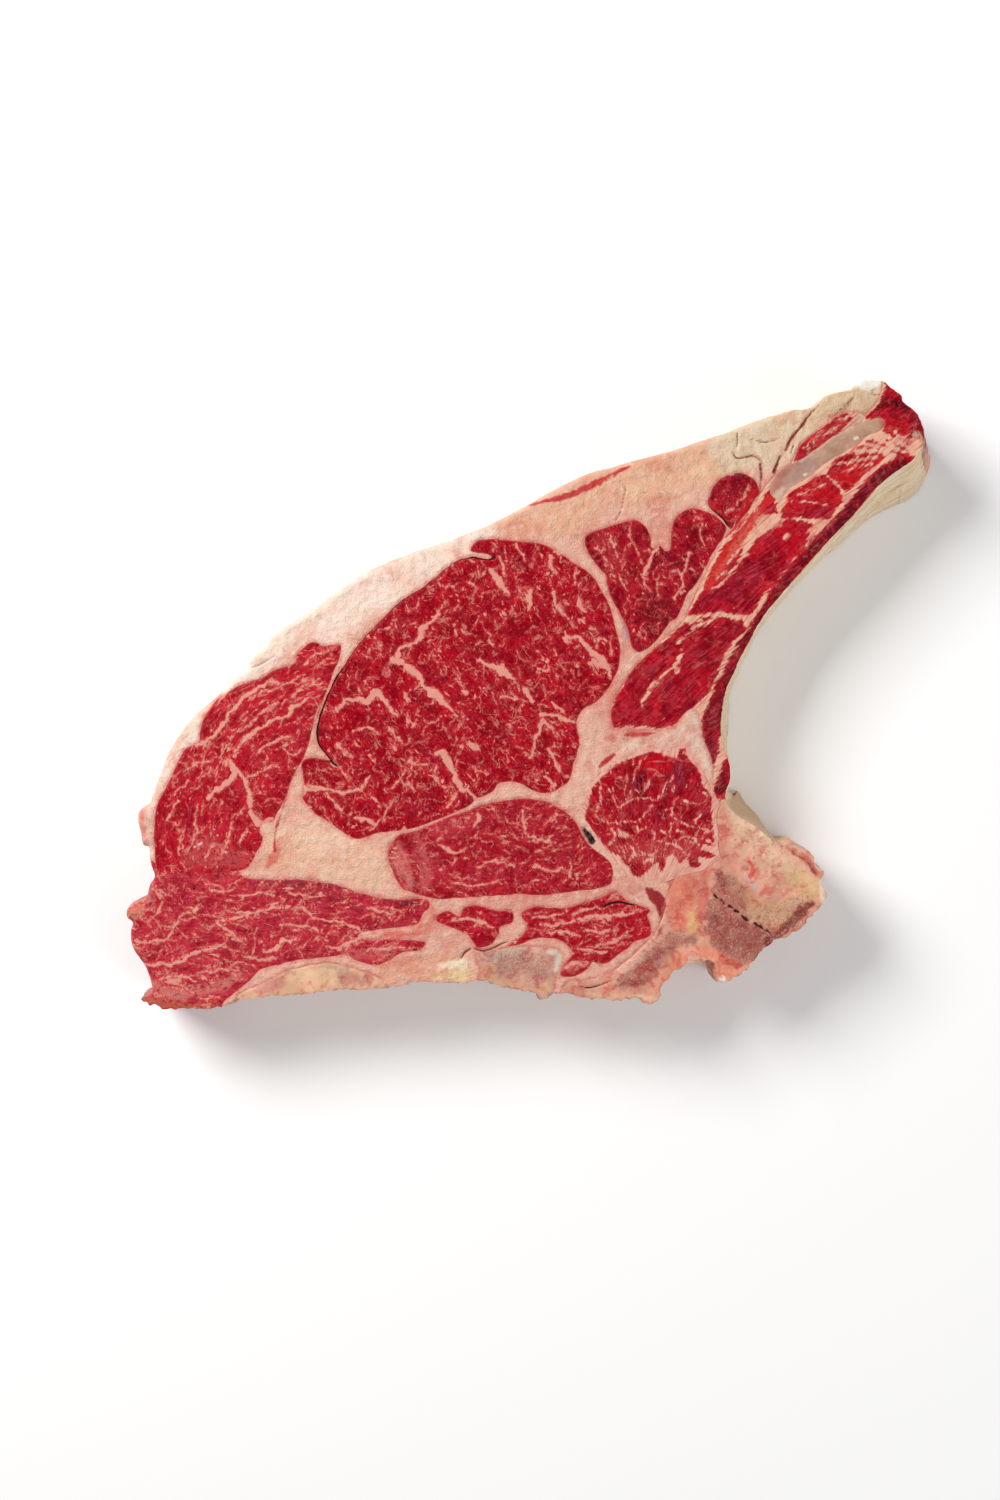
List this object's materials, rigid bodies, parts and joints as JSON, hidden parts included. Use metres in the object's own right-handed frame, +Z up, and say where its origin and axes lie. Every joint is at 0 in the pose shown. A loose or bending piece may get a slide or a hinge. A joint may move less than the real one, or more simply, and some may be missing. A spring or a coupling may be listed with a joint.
{
  "type": "bone-in rib steak",
  "caption": "Raw bone-in beef rib steak, thick cut: a large marbled eye muscle with cap, back and rib muscles set in fat, a long sawn rib bone and a piece of backbone. Lies flat.",
  "frame": {"origin": "centre of the bounding box at the underside, the lower cut face", "axes": "+Z up through the cut's thickness; X and Y lie in the cut face; the rib bone points to +X +Y, the backbone lies at +X -Y, the outer fat faces -X +Y"},
  "size_m": [0.3161, 0.2445, 0.04],
  "materials": {
    "lean_red": "raw lean beef, deep red, damp, finely marbled",
    "lean_pink": "raw lean beef, paler and coarser grained, damp",
    "fat": "raw beef fat, cream to pink, waxy and slightly damp",
    "bone": "sawn raw bone, spongy, pinkish grey",
    "gristle": "raw gristle, yellow tan to pink, damp"
  },
  "bodies": {
    "root": {"eye_muscle": "lean_red", "cap_muscle": "lean_red", "back_muscle": "lean_pink", "inner_muscle": "lean_red", "chine_muscle": "lean_red", "joint_muscle": "lean_red", "plate_muscle": "lean_red", "lobe_muscle": "lean_red", "rim_muscle": "lean_pink", "rib_meat": "lean_red", "rib_bone": "bone", "backbone": "bone", "feather_bone": "bone", "back_gristle": "gristle", "fat": "fat"}
  },
  "joints": []
}
